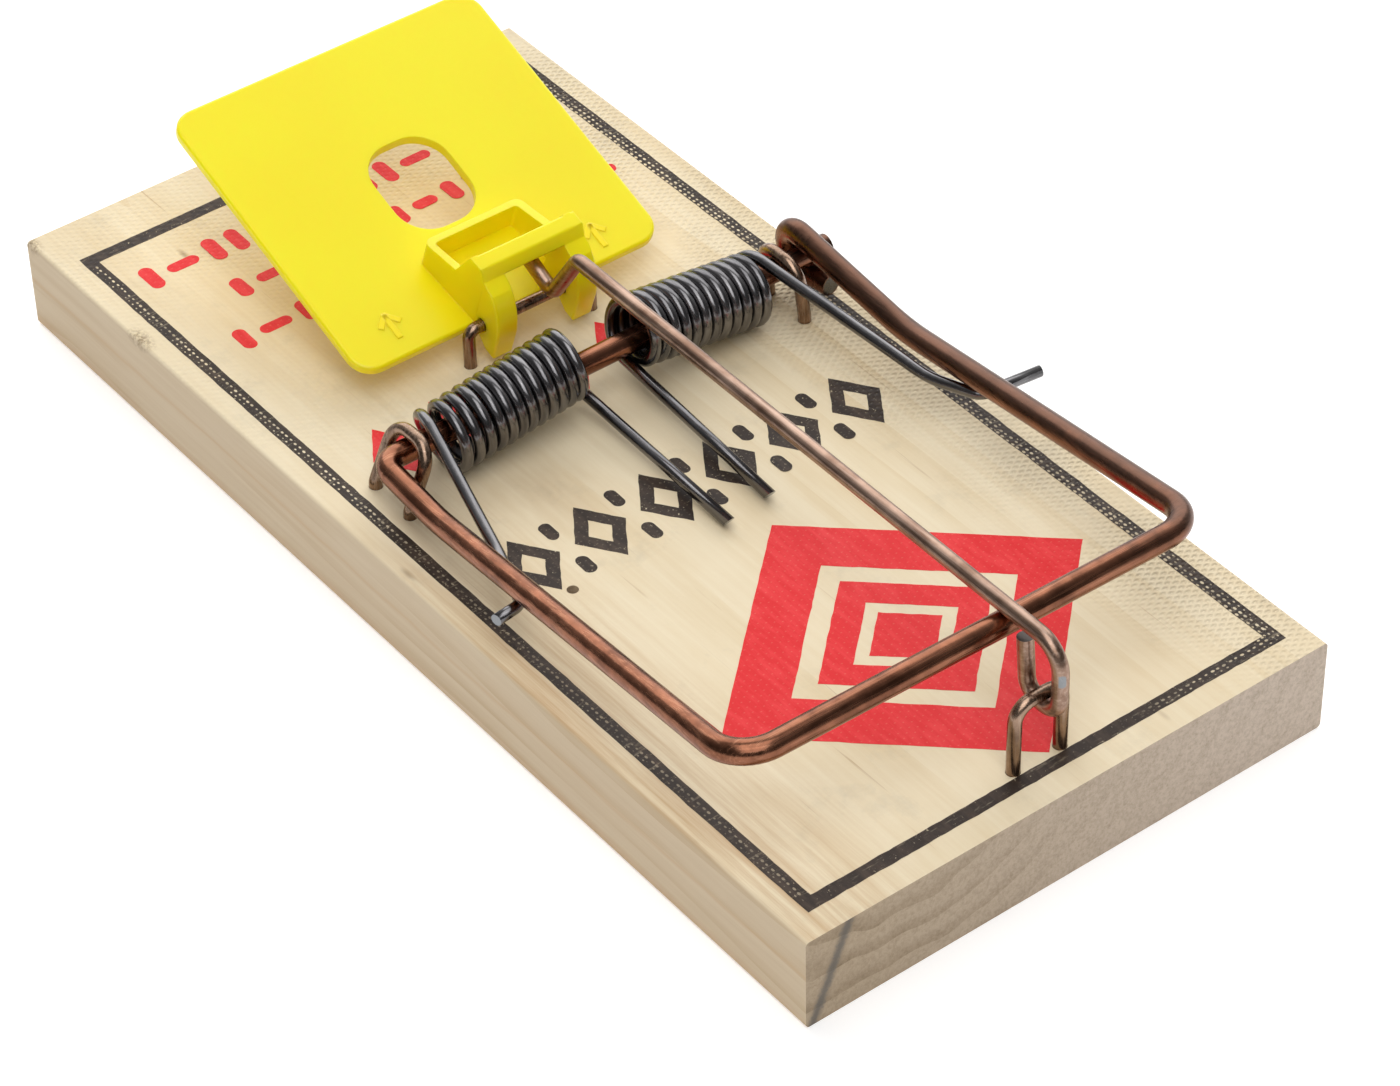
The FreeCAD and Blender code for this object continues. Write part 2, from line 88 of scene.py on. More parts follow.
pine = {
    "early": "#EEDFC0",
    "late": "#DEC79E",
    "hairline": "#A67C4B",
    "knot": "#7C5A36",
    # warm tone: lines along the sides, and the painted shade along the top's left edge
    "warm": "#C6A379",
    # the sides: their grain's colour, set darker than the top as painted shade
    "side": "#D6C3A6",
    "sideLine": "#C0A47E",
    "end": "#B39F85",
    "endPale": "#CDBCAB",
    "endLine": "#7E6A4E",
    "stain": "#50504F",
    # painted warm shade on the wood under the left spring
    "paintedShadeTint": "#99703F",
    "smudge": "#948E80",
    "rough": 0.68,
    "ior": 1.48,
    "bumpDepth": 0.1,               # mm
    "pith": (0.0, -12.0, 27.0),     # mm, above the board, so the rings sag in the end grain
    "ringSpacing": 2.6,             # mm
    "ringWander": 5.0,              # mm
    # noises drawn out along the grain: size in mm, detail and roughness. Real fibres are a few
    # hundredths of a millimetre wide, and are drawn ten to twenty times as coarse so that they show
    "grain": {
        "warp": ((50.0, 9.091, 9.091), 2.0, 0.5),
        "patches": ((40.0, 11.11, 11.11), 3.0, 0.6),
        "mottle": ((20.0, 6.25, 6.25), 4.0, 0.62),
        "fibre": ((16.667, 0.5882, 0.5882), 5.0, 0.65),
        "hairs": ((11.11, 0.2778, 0.2778), 2.0, 0.5),
    },
    "poreSize": 0.3125,             # mm, coarser than in real pine so that the pores show
    "knotSize": (28.57, 9.091, 9.091),
    "smudgeSize": 6.25,
    "edgeShadeAcross": (-12.0, -22.8),   # mm in y, and below it in x, where painted warm shade darkens the left edge
    "edgeShadeAlong": (-8.0, 14.0),
    "seamHeight": 5.4,              # mm, a warm line along the sides
    "seamHalf": 0.4,
    "seamWander": 1.6,
    "footBand": (2.0, 0.7),
    "endPaleTowards": (-20.0, 16.0),    # y in mm
    "arcsTowards": (0.0, -20.0),
    "embossAlong": 0.64,            # mm between the roller's dots, and between its rows
    "embossRow": 0.5,
    "embossWear": 10.0,             # mm, the size of worn patches
    "embossTowardsX": (-2.0, -24.0),    # mm, where the dots get deep
    "embossTowardsY": (12.0, 19.0),
    "paintedShadeAt": (0.5, -9.5, 8.1),     # mm, the middle of the painted warm shade under the left spring
    "paintedShadeReach": 7.0,
    "stainTop": (-20.1, 7.5),       # y and z of the dark streak on the near end
    "stainBottom": (-22.7, 0.9),
    "stainHalf": (0.5, 1.2),        # mm, where the streak starts to fade and ends
    "stainRagged": 0.9,
    "nicks": ((-33.0, -23.2, 8.1), (-49.0, -23.5, 8.1)),    # mm, chipped spots on the edges
    "nickReach": (2.0, 0.909, 0.909),
}


def embossDots(add, place):
    # the feed roller's staggered dots: two waves that cross, 1 at each dot's middle
    slope = math.atan(pine["embossAlong"] / 2 / pine["embossRow"])
    wave = pine["embossAlong"] * math.cos(slope)
    hatch = []
    for turn in (slope, -slope):
        turned = add("Mapping", {"Vector": place, "Rotation": (0, 0, turn)})
        hatch.append(add("TexWave", {
            "Vector": turned, "Scale": math.tau / 20 / wave, "Distortion": 0.25, "Detail Scale": 0.4},
            wave_profile="SIN"))
    return add("Math", hatch, operation="MULTIPLY")


def readGrain(add, coords, place):
    # the noises and growth rings that all faces of the board share
    wood = {"spot": add("SeparateXYZ", (place,)).outputs,
            "facing": add("SeparateXYZ", (coords["Normal"],)).outputs}
    for name, (size, detail, roughness) in pine["grain"].items():
        drawn = add("VectorMath", (place, size), operation="DIVIDE")
        wood[name] = add("TexNoise", {
            "Vector": drawn, "Scale": 1.0, "Detail": detail, "Roughness": roughness})
    wood["pores"] = add("TexNoise", {
        "Vector": place, "Scale": 1 / pine["poreSize"], "Detail": 3.0, "Roughness": 0.7})
    shift = add("VectorMath", {"Vector": wood["warp"], "Scale": pine["ringWander"]}, operation="SCALE")
    wandered = add("VectorMath", (place, shift), operation="ADD")
    fromPith = add("VectorMath", (wandered, pine["pith"]), operation="SUBTRACT")
    rings = add("TexWave", {
        "Vector": fromPith, "Scale": math.tau / 20 / pine["ringSpacing"], "Distortion": 0.6,
        "Detail": 2.0, "Detail Scale": 0.3}, wave_type="RINGS", rings_direction="X", wave_profile="SAW")
    wood["latewood"] = add("MapRange", (rings, 0.35, 1.0), interpolation_type="SMOOTHSTEP")
    patchy = add("MapRange", (wood["patches"], 0.4, 0.75))
    wood["growth"] = add("Math", (wood["latewood"], patchy), operation="MULTIPLY")
    faint = add("Math", (wood["growth"], 0.5), operation="MULTIPLY")
    fibres = add("MapRange", (wood["fibre"], 0.35, 0.7))
    wood["soft"] = add("Math", (fibres, 0.3, faint), operation="MULTIPLY_ADD")
    return wood


def topColour(add, place, wood):
    streaks = add("MapRange", (wood["mottle"], 0.4, 0.7))
    lines = add("Math", (streaks, 0.45, wood["soft"]), operation="MULTIPLY_ADD")
    colour = add("MixRGB", (lines, pine["early"], pine["late"]))
    hairs = add("MapRange", (wood["hairs"], 0.68, 0.76, 0.0, 0.5))
    hairs = add("Math", (hairs, add("MapRange", (wood["mottle"], 0.44, 0.6))), operation="MULTIPLY")
    colour = add("MixRGB", (hairs, colour, pine["hairline"]))
    drawn = add("VectorMath", (place, pine["knotSize"]), operation="DIVIDE")
    fromKnot = add("TexVoronoi", {"Vector": drawn, "Scale": 1.0, "Randomness": 1.0})
    knots = add("MapRange", (fromKnot, 0.0, 0.045, 0.55, 0.0), interpolation_type="SMOOTHSTEP")
    colour = add("MixRGB", (knots, colour, pine["knot"]))
    smudges = add("TexNoise", {
        "Vector": place, "Scale": 1 / pine["smudgeSize"], "Detail": 6.0, "Roughness": 0.7})
    colour = add("MixRGB", (add("MapRange", (smudges, 0.56, 0.82, 0.0, 0.3)), colour, pine["smudge"]))
    # painted warm shade under the left spring: patchy, fading out from its middle
    fromPaintedShade = add("VectorMath", (place, pine["paintedShadeAt"]), operation="SUBTRACT")
    fromPaintedShade = add("VectorMath", {"Vector": fromPaintedShade, "Scale": 1 / pine["paintedShadeReach"]}, operation="SCALE")
    paintedSpringShade = add("TexGradient", (fromPaintedShade,), gradient_type="SPHERICAL")
    patchy = add("MapRange", (wood["mottle"], 0.35, 0.65, 0.0, 0.3))
    paintedSpringShade = add("Math", (paintedSpringShade, patchy), operation="MULTIPLY")
    colour = add("MixRGB", (paintedSpringShade, colour, pine["paintedShadeTint"]))
    # painted warm shade along the left edge: grows towards the near end, streaked by the fibres
    edge = add("MapRange", (wood["spot"]["Y"], *pine["edgeShadeAcross"], 0.0, 0.85))
    along = add("MapRange", (wood["spot"]["X"], *pine["edgeShadeAlong"]))
    fibrous = add("MapRange", (wood["fibre"], 0.38, 0.66, 0.1, 1.0))
    for part in (along, fibrous):
        edge = add("Math", (edge, part), operation="MULTIPLY")
    return add("MixRGB", (edge, colour, pine["warm"]))


def sideColour(add, wood):
    lines = add("Math", (wood["growth"], 0.4, wood["soft"]), operation="MULTIPLY_ADD")
    # the sides' colour, darker than the top: partly painted shade
    colour = add("MixRGB", (lines, pine["side"], pine["sideLine"]))
    wavy = add("Math", (wood["mottle"], pine["seamWander"], wood["spot"]["Z"]), operation="MULTIPLY_ADD")
    fromSeam = add("Math", (wavy, pine["seamHeight"]), operation="SUBTRACT")
    fromSeam = add("Math", (fromSeam,), operation="ABSOLUTE")
    seam = add("MapRange", (fromSeam, 0.0, pine["seamHalf"], 0.45, 0.0))
    colour = add("MixRGB", (seam, colour, pine["warm"]))
    foot = add("MapRange", (wavy, *pine["footBand"], 0.0, 0.7))
    return add("MixRGB", (foot, colour, pine["warm"]))


def endColour(add, wood):
    spot = wood["spot"]
    pale = add("MapRange", (spot["Y"], *pine["endPaleTowards"]))
    ground = add("MixRGB", (pale, pine["end"], pine["endPale"]))
    arcs = add("MapRange", (spot["Y"], *pine["arcsTowards"], 0.1, 0.55))
    arcs = add("Math", (wood["latewood"], arcs), operation="MULTIPLY")
    arcs = add("Math", (arcs, add("MapRange", (wood["mottle"], 0.3, 0.6, 0.2, 1.0))), operation="MULTIPLY")
    lines = add("Math", (add("MapRange", (wood["pores"], 0.4, 0.75)), 0.45, arcs), operation="MULTIPLY_ADD")
    colour = add("MixRGB", (lines, ground, pine["endLine"]))
    (topY, topZ), (bottomY, bottomZ) = pine["stainTop"], pine["stainBottom"]
    lean = (topY - bottomY) / (topZ - bottomZ)
    upright = add("Math", (spot["Z"], -lean, spot["Y"]), operation="MULTIPLY_ADD")
    fromStain = add("Math", (upright, bottomY - lean * bottomZ), operation="SUBTRACT")
    fromStain = add("Math", (fromStain,), operation="ABSOLUTE")
    ragged = add("Math", (wood["pores"], pine["stainRagged"], fromStain), operation="MULTIPLY_ADD")
    stained = add("MapRange", (ragged, *pine["stainHalf"], 0.75, 0.0), interpolation_type="SMOOTHSTEP")
    nearEnd = add("Math", (wood["facing"]["X"], 0.7), operation="GREATER_THAN")
    stained = add("Math", (stained, nearEnd), operation="MULTIPLY")
    return add("MixRGB", (stained, colour, pine["stain"]))


def pineLook(add, coords, place):
    # colour and height of the board, shared by the wood and the ink that is printed on it
    wood = readGrain(add, coords, place)
    spot, facing = wood["spot"], wood["facing"]
    isTop = add("MapRange", (facing["Z"], 0.4, 0.95))
    isEnd = add("MapRange", (add("Math", (facing["X"],), operation="ABSOLUTE"), 0.4, 0.8))
    colour = add("MixRGB", (isTop, sideColour(add, wood), topColour(add, place, wood)))
    colour = add("MixRGB", (isEnd, colour, endColour(add, wood)))
    nick = 0.0
    for chipped in pine["nicks"]:
        away = add("VectorMath", (place, chipped), operation="SUBTRACT")
        away = add("VectorMath", (away, pine["nickReach"]), operation="DIVIDE")
        near = add("TexGradient", (away,), gradient_type="SPHERICAL")
        nick = add("Math", (nick, near), operation="MAXIMUM")
    nick = add("Math", (nick, add("MapRange", (wood["pores"], 0.42, 0.6))), operation="MULTIPLY")
    colour = add("MixRGB", (add("Math", (nick, 0.8), operation="MULTIPLY"), colour, pine["knot"]))
    worn = add("TexNoise", {"Vector": place, "Scale": 1 / pine["embossWear"], "Detail": 2.0})
    worn = add("MapRange", (worn, 0.35, 0.6, 0.15, 0.8))
    deep = add("Math", (add("MapRange", (spot["X"], *pine["embossTowardsX"], 0.12, 1.0)),
                        add("MapRange", (spot["Y"], *pine["embossTowardsY"], 0.0, 3.5))), operation="MAXIMUM")
    pressed = add("Math", (embossDots(add, place), isTop), operation="MULTIPLY")
    pressed = add("Math", (pressed, add("Math", (worn, deep), operation="MULTIPLY")), operation="MULTIPLY")
    endRough = add("Math", (wood["pores"], 1.3), operation="MULTIPLY")
    rough = add("Math", (isEnd, endRough, wood["fibre"]), operation="MULTIPLY_ADD")
    ground = add("Math", (add("Math", (rough, 0.45), operation="MULTIPLY"), nick), operation="SUBTRACT")
    return colour, add("Math", (pressed, -0.9, ground), operation="MULTIPLY_ADD")


def makePine():
    finish, shader, add, coords, place = startFinish("planed pine")
    colour, height = pineLook(add, coords, place)
    bump = add("Bump", {"Strength": 0.7, "Distance": pine["bumpDepth"] * mm, "Height": height})
    fillSockets(shader, {"Base Color": colour, "Roughness": pine["rough"], "IOR": pine["ior"],
                         "Specular IOR Level": 0.4, "Normal": bump})
    return finish


# Printing ink: an offset film, thin enough to show the grain, that misses the roller's dots

inks = {
    "red": {"ink": "#E2191F", "thin": "#F84A4B", "speck": 0.72},
    "black": {"ink": "#2D2119", "thin": "#5A493C", "speck": 0.64},
    "rough": 0.55,
    "ior": 1.5,
    "thinSize": (2.857, 0.7143, 0.7143),    # mm, drawn out along the grain
    "speckSize": 0.2941,
    "bumpDepth": 0.07,
}


def makeInk(name, look, dotted):
    finish, shader, add, coords, place = startFinish(name)
    wood, height = pineLook(add, coords, place)
    drawn = add("VectorMath", (place, inks["thinSize"]), operation="DIVIDE")
    thin = add("TexNoise", {"Vector": drawn, "Scale": 1.0, "Detail": 5.0, "Roughness": 0.7})
    ink = add("MixRGB", (add("MapRange", (thin, 0.44, 0.78, 0.0, 0.7)), look["ink"], look["thin"]))
    specks = add("TexNoise", {
        "Vector": place, "Scale": 1 / inks["speckSize"], "Detail": 4.0, "Roughness": 0.75})
    bare = add("MapRange", (specks, look["speck"], look["speck"] + 0.06, 0.0, 0.8))
    if dotted:
        gaps = borderGaps(add, coords, place)
    else:
        gaps = (add("MapRange", (embossDots(add, place), 0.8, 1.0, 0.0, 0.1)),)
    for gap in gaps:
        bare = add("Math", (bare, gap), operation="MAXIMUM")
    bump = add("Bump", {"Strength": 0.5, "Distance": inks["bumpDepth"] * mm, "Height": height})
    fillSockets(shader, {"Base Color": add("MixRGB", (bare, ink, wood)), "Roughness": inks["rough"],
                         "IOR": inks["ior"], "Specular IOR Level": 0.3, "Normal": bump})
    return finish


# Copper-washed steel wire: drawn, so its marks run along the wire; brown oxide on top, and a painted
# reflection of the wood, redder, on its underside

steelCut = "#5C5B5B"        # bare steel, where the copper is sheared or rubbed off

# runs: the way the wire runs, and from which x in mm; bare: middle, facing, reach in mm and colour
wires = {
    "hammer": {"runs": (("y", -60.0), ("x", -3.6), ("y", 38.5)),
               "dark": "#6A4433", "mid": "#93614A", "light": "#B98468", "under": "#834A2C", "rough": 0.22,
               "oxide": "#55443B",
               "bare": (((-5.5, 22.25, 11.65), (0, 1, 0), 1.2, steelCut),
                        ((-3.4, 21.05, 9.61), (1, 0.1, 0), 1.2, steelCut))},
    "bar": {"runs": (("x", -60.0),),
            "dark": "#7E6353", "mid": "#A68A79", "light": "#D6BCAB", "under": "#9A6A4F", "rough": 0.31,
            "bare": (((43.0, 0.45, 17.45), (0, 0, 1), 1.2, "#4C4744"),
                     ((-15.75, 1.15, 14.85), (-0.9, 0, 0.42), 1.2, steelCut),
                     ((47.24, 0.1, 16.4), (0.87, -0.5, 0), 0.7, "#8C8E90"))},
    "staple": {"runs": (("z", -60.0),),
               "dark": "#6E5A4B", "mid": "#9A806D", "light": "#C7AD9B", "under": "#8A6048", "rough": 0.24},
}
drawing = {
    # the size in mm of the marks that the die leaves along the wire; real ones are a few hundredths
    # of a millimetre wide, and these are drawn coarser so that they show
    "marks": {"x": (7.692, 0.24038, 0.24038), "y": (0.24038, 7.692, 0.24038), "z": (0.24038, 0.24038, 7.692)},
    "patinaSize": 2.222,            # mm
    "oxideTowards": (14.0, 22.0),   # y in mm
    "oxideWander": 8.0,
    "bumpDepth": 0.03,
}


def makeCoppered(name, look):
    finish, shader, add, coords, place = startFinish(name)
    spot = add("SeparateXYZ", (place,)).outputs
    facing = add("SeparateXYZ", (coords["Normal"],)).outputs
    streaks = None
    for way, fromX in look["runs"]:
        drawn = add("VectorMath", (place, drawing["marks"][way]), operation="DIVIDE")
        drawn = add("TexNoise", {"Vector": drawn, "Scale": 1.0, "Detail": 6.0, "Roughness": 0.6})
        if streaks is not None:
            drawn = add("MixRGB", (add("MapRange", (spot["X"], fromX - 0.5, fromX + 0.5)), streaks, drawn))
        streaks = drawn
    patina = add("TexNoise", {
        "Vector": place, "Scale": 1 / drawing["patinaSize"], "Detail": 4.0, "Roughness": 0.6})
    colour = add("MixRGB", (add("MapRange", (patina, 0.36, 0.66)), look["mid"], look["dark"]))
    colour = add("MixRGB", (add("MapRange", (streaks, 0.48, 0.72, 0.0, 0.5)), colour, look["light"]))
    # painted reflection of the wood on the downward faces: redder, patchy
    reflectedWoodMask = add("Math", (patina, 0.5, facing["Z"]), operation="MULTIPLY_ADD")
    reflectedWoodMask = add("MapRange", (reflectedWoodMask, -0.35, 0.25, 0.85, 0.0), interpolation_type="SMOOTHSTEP")
    colour = add("MixRGB", (reflectedWoodMask, colour, look["under"]))
    rough = add("MapRange", (streaks, 0.3, 0.7, look["rough"] - 0.06, look["rough"] + 0.1))
    if "oxide" in look:  # dull and grey on top, towards the right arm
        rightmost = add("Math", (patina, drawing["oxideWander"], spot["Y"]), operation="MULTIPLY_ADD")
        dull = add("Math", (add("MapRange", (rightmost, *drawing["oxideTowards"])),
                            add("MapRange", (facing["Z"], -0.1, 0.5, 0.0, 0.72))), operation="MULTIPLY")
        colour = add("MixRGB", (dull, colour, look["oxide"]))
        rough = add("Math", (dull, 0.1, rough), operation="MULTIPLY_ADD")
    for middle, ahead, reach, steel in look.get("bare", ()):  # a sheared or rubbed face shows grey steel
        away = add("VectorMath", (place, middle), operation="SUBTRACT")
        away = add("VectorMath", {"Vector": away, "Scale": 1 / reach}, operation="SCALE")
        near = add("TexGradient", (away,), gradient_type="SPHERICAL")
        turned = add("VectorMath", (coords["Normal"], ahead), operation="DOT_PRODUCT").outputs["Value"]
        ragged = add("Math", (streaks, 0.3, near), operation="MULTIPLY_ADD")
        face = add("Math", (add("Math", (turned, 0.9), operation="GREATER_THAN"),
                            add("MapRange", (ragged, 0.3, 0.5))), operation="MULTIPLY")
        colour = add("MixRGB", (face, colour, steel))
    bump = add("Bump", {"Strength": 0.2, "Distance": drawing["bumpDepth"] * mm, "Height": streaks})
    fillSockets(shader, {"Base Color": colour, "Metallic": 1.0, "Roughness": rough, "Normal": bump})
    return finish


# Spring wire: oil-tempered steel, dark blue-grey and smooth, with long faint die marks

springSteel = {
    "dark": "#5C5B5D",
    "light": "#8E8C8D",
    "cut": "#85888B",
    "rough": 0.2,
    "markLength": 4.545,        # mm
    "marksRound": 5.0,          # fewer and coarser than real die marks, so that they show
    "speckSize": 0.25,
    "bumpDepth": 0.02,
}


def makeSpringSteel(name, cutEnd):
    finish, shader, add, coords, place = startFinish(name)
    along = add("VectorMath", (coords["UV"], (1 / springSteel["markLength"], springSteel["marksRound"], 1.0)),
                operation="MULTIPLY")
    marks = add("TexNoise", {"Vector": along, "Scale": 1.0, "Detail": 3.0, "Roughness": 0.55})
    specks = add("TexNoise", {"Vector": place, "Scale": 1 / springSteel["speckSize"], "Detail": 3.0})
    tone = add("MapRange", (marks, 0.3, 0.85))
    colour = add("MixRGB", (tone, springSteel["dark"], springSteel["light"]))
    rough = add("MapRange", (specks, 0.3, 0.7, springSteel["rough"] - 0.03, springSteel["rough"] + 0.06))
    bump = add("Bump", {"Strength": 0.08, "Distance": springSteel["bumpDepth"] * mm, "Height": marks})
    fillSockets(shader, {"Base Color": springSteel["cut"] if cutEnd else colour,
                         "Metallic": 1.0, "Roughness": rough, "Normal": bump})
    return finish


# Polypropylene: injection moulded, glossy, a little light passes through thin walls

plastic = {
    "body": "#FFEC00",
    "deep": "#FFE500",
    "rough": 0.3,
    "ior": 1.49,
    "flowSize": 10.0,           # mm
    "softEdge": 0.14,
    "lightReach": 1.6,          # mm that light travels inside, red the furthest
    "lightColour": (1.0, 0.65, 0.03),
}


def makeYellowPlastic(name, through):
    finish, shader, add, coords, place = startFinish(name)
    flow = add("TexNoise", {"Vector": place, "Scale": 1 / plastic["flowSize"], "Detail": 0.0})
    flow = add("MapRange", (flow, 0.3, 0.7, 0.0, 0.6), interpolation_type="SMOOTHSTEP")
    rounded = add("Bevel", {"Radius": plastic["softEdge"] * mm}, samples=6)  # the mould's soft edges
    fillSockets(shader, {
        "Base Color": add("MixRGB", (flow, plastic["body"], plastic["deep"])), "Roughness": plastic["rough"],
        "IOR": plastic["ior"], "Specular IOR Level": 0.5, "Normal": rounded, "Subsurface Weight": through,
        "Subsurface Radius": plastic["lightColour"], "Subsurface Scale": plastic["lightReach"] * mm})
    return finish


# Printed design on the board's top

boardTop = 8.1              # mm
film = {
    "depth": 0.02,          # mm in the wood and above it
    "creep": 0.06,          # mm that a printed edge strays along the grain
    "creepRate": 1.3,       # strays per mm
}


def roughenEdges(bm, seed):
    for vert in bm.verts:
        if vert.is_boundary:
            at = vert.co / mm * film["creepRate"]
            vert.co += Vector((noise.noise(at + Vector((seed, 0, 0))),
                               noise.noise(at + Vector((0, seed, 5))), 0)) * film["creep"] * mm


def finishPiece(name, bm, materials, body):
    mesh = bpy.data.meshes.new(name)
    bm.to_mesh(mesh)
    bm.free()
    for finish in materials:
        mesh.materials.append(finish)
    piece = bpy.data.objects.new(name, mesh)
    bpy.context.scene.collection.objects.link(piece)
    if body:
        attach(piece, body)
    return piece


def addFilm(name, bm, finish):
    roughenEdges(bm, len(name))
    for vert in bm.verts:
        vert.co.z = (boardTop + film["depth"]) * mm
    bmesh.ops.recalc_face_normals(bm, faces=bm.faces)
    if bm.faces[:][0].normal.z < 0:
        bmesh.ops.reverse_faces(bm, faces=bm.faces)
    bmesh.ops.solidify(bm, geom=bm.faces[:], thickness=2 * film["depth"] * mm)
    return finishPiece(name, bm, [finish], "base")


def flatAt(x, y, halfX, halfY, turn=0.0):
    return (Matrix.Translation((x * mm, y * mm, boardTop * mm)) @ Matrix.Rotation(turn, 4, "Z")
            @ Matrix.Diagonal((halfX * mm, halfY * mm, 1, 1)))


border = {
    "low": (-44.5, -21.65),             # mm, the outer edge's corners
    "high": (47.0, 21.6),
    "width": 1.15,
    "rowInset": 0.6,
    "rowSpacing": 0.38,
    "dotPitch": 0.58,
    "openX": (2.0, -8.0),               # mm, towards the far end the dots come through
    "solidX": (45.6, 45.8),             # the near end prints solid
    "openY": (8.0, 13.0),
    "solidFarX": (-43.2, -42.6),
    "rowsBothY": (18.0, 20.0),          # both rows show on the right side alone
    "unevenSize": 2.5,                  # mm
    "streakSize": (0.2941, 2.0, 1.0),
    "cuts": 90,
}


def borderGaps(add, coords, place):
    # where the border's ink misses: rows of dots along the strip, and light streaks
    spot = add("SeparateXYZ", (place,)).outputs
    strip = add("SeparateXYZ", (coords["UV"],)).outputs
    rows = add("CombineXYZ", {
        "X": add("Math", (strip["X"], 1 / border["dotPitch"]), operation="MULTIPLY"),
        "Y": add("Math", (strip["Y"], 1 / border["rowSpacing"], -border["rowInset"] / border["rowSpacing"]),
                 operation="MULTIPLY_ADD")})
    fromDot = add("TexVoronoi", {"Vector": rows, "Scale": 1.0, "Randomness": 0.22})
    bothRows = add("MapRange", (spot["Y"], *border["rowsBothY"]))
    inner = add("MapRange", (strip["Y"], 0.72, 0.9))
    fading = add("Math", (bothRows, 1.0), operation="SUBTRACT")
    outer = add("MapRange", (strip["Y"], 0.2, 0.6, 0.2, 0.33))
    radius = add("Math", (fading, inner, outer), operation="MULTIPLY_ADD")
    dots = add("MapRange", (add("Math", (radius, fromDot), operation="SUBTRACT"), 0.0, 0.1))
    uneven = add("TexNoise", {
        "Vector": place, "Scale": 1 / border["unevenSize"], "Detail": 4.0, "Roughness": 0.7})
    opened = add("MapRange", (spot["X"], *border["openX"], 0.35, 1.0))
    nearEnd = add("MapRange", (spot["X"], *border["solidX"], 1.0, 0.0))
    shown = add("Math", (opened, nearEnd), operation="MULTIPLY")
    rightSide = add("MapRange", (spot["Y"], *border["openY"], 0.0, 0.8))
    shown = add("Math", (shown, rightSide), operation="MAXIMUM")
    farEnd = add("MapRange", (spot["X"], *border["solidFarX"]))
    patchy = add("MapRange", (uneven, 0.35, 0.55, 0.3, 1.0))
    for part in (farEnd, patchy):
        shown = add("Math", (shown, part), operation="MULTIPLY")
    drawn = add("VectorMath", (place, border["streakSize"]), operation="DIVIDE")
    streaks = add("TexNoise", {"Vector": drawn, "Scale": 1.0, "Detail": 3.0, "Roughness": 0.7})
    return add("Math", (dots, shown), operation="MULTIPLY"), add("MapRange", (streaks, 0.58, 0.8, 0.0, 0.3))


def addBorder(finish):
    bm = bmesh.new()
    uv = bm.loops.layers.uv.new("strip")
    (lowX, lowY), (highX, highY) = border["low"], border["high"]
    bmesh.ops.create_grid(bm, x_segments=1, y_segments=1, size=1, matrix=flatAt(
        (lowX + highX) / 2, (lowY + highY) / 2, (highX - lowX) / 2, (highY - lowY) / 2))
    middle = bm.faces[:][0]
    bmesh.ops.inset_region(bm, faces=[middle], thickness=border["width"] * mm,
                           use_boundary=True, use_even_offset=True)
    bmesh.ops.delete(bm, geom=[middle], context="FACES_ONLY")
    for face in bm.faces:
        centre = face.calc_center_median() / mm
        endBand = not lowX + border["width"] < centre.x < highX - border["width"]
        for loop in face.loops:
            at = loop.vert.co / mm
            along, across = (at.y, at.x) if endBand else (at.x, at.y)
            outer = (highX if centre.x > 0 else lowX) if endBand else (highY if centre.y > 0 else lowY)
            loop[uv].uv = (along, abs(outer - across))
    long = [edge for edge in bm.edges if edge.calc_length() > 2 * border["width"] * mm]
    bmesh.ops.subdivide_edges(bm, edges=long, cuts=border["cuts"], use_grid_fill=True)
    return addFilm("printed_border", bm, finish)


emblem = {
    "centre": (30.0, 0.9),
    "half": (15.4, 16.6),
    "bands": (4.2, 1.6, 2.2, 1.0),  # red, bare, red, bare, then the red middle
    "cuts": 24,
}
strokeSides = 24        # of a stroke with round ends


def addLozenge(bm, x, y, halfX, halfY, bands):
    # a diamond cut into bands; every second band is left bare
    made = bmesh.ops.create_circle(bm, cap_ends=True, segments=4, radius=1, matrix=flatAt(x, y, halfX, halfY))
    middle = made["verts"][0].link_faces[0]
    for i, width in enumerate(bands):
        ring = bmesh.ops.inset_region(bm, faces=[middle], thickness=width * mm,
                                      use_boundary=True, use_even_offset=True)["faces"]
        if i % 2:
            bmesh.ops.delete(bm, geom=ring, context="FACES_ONLY")
    if len(bands) % 2:
        bmesh.ops.delete(bm, geom=[middle], context="FACES_ONLY")


def addDash(bm, x, y, halfX, halfY):
    # a rounded stroke: a circle pulled apart along its longer way
    radius = min(halfX, halfY)
    made = bmesh.ops.create_circle(bm, cap_ends=True, segments=strokeSides, radius=1,
                                   matrix=flatAt(x, y, radius, radius, math.pi / strokeSides))
    pull = Vector((halfX - radius, halfY - radius, 0)) * mm
    middle = Vector((x, y, boardTop)) * mm
    for vert in made["verts"]:
        side = vert.co - middle
        ahead = side.x if halfX > halfY else side.y
        vert.co += pull * (1 if ahead > 0 else -1)


def subdivideBands(bm, cuts):
    # points for the edges to stray at
    bmesh.ops.subdivide_edges(bm, edges=bm.edges[:], cuts=cuts, use_grid_fill=True)


def addEmblem(finish):
    bm = bmesh.new()
    addLozenge(bm, *emblem["centre"], *emblem["half"], emblem["bands"])
    subdivideBands(bm, emblem["cuts"])
    return addFilm("printed_emblem", bm, finish)


ornament = {
    "x": 7.3,
    "firstY": -15.2,
    "spacing": 6.0,
    "count": 6,
    "half": (3.4, 2.3),
    "stroke": 1.05,
    "cuts": 8,
    "dashAside": 2.3,
    "dashHalf": (1.0, 0.52),
}


